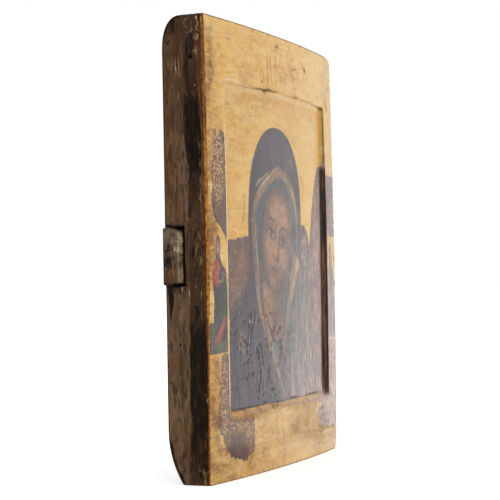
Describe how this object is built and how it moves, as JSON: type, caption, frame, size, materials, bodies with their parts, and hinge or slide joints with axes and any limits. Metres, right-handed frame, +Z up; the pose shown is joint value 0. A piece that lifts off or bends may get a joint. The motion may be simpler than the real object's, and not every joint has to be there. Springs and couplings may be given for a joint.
{
  "type": "icon panel",
  "caption": "Thick cupped wooden icon panel with a sunk painted field, gilded margins, worn varnish and a tapered dovetail batten across its back.",
  "frame": {"origin": "on the surface it stands on, under the centre of the bounding box of board and batten together", "axes": "+Z up along the height; the painted front faces -Y; the batten's thick end stands out towards -X"},
  "size_m": [0.2738, 0.039, 0.3126],
  "materials": {
    "painted_board": "gesso, tempera and worn gilding under aged varnish on the front, bare dark wood elsewhere",
    "batten_wood": "bare weathered wood, end grain showing on the left"
  },
  "bodies": {
    "root": {"panel": "painted_board", "batten": "batten_wood"}
  },
  "joints": []
}
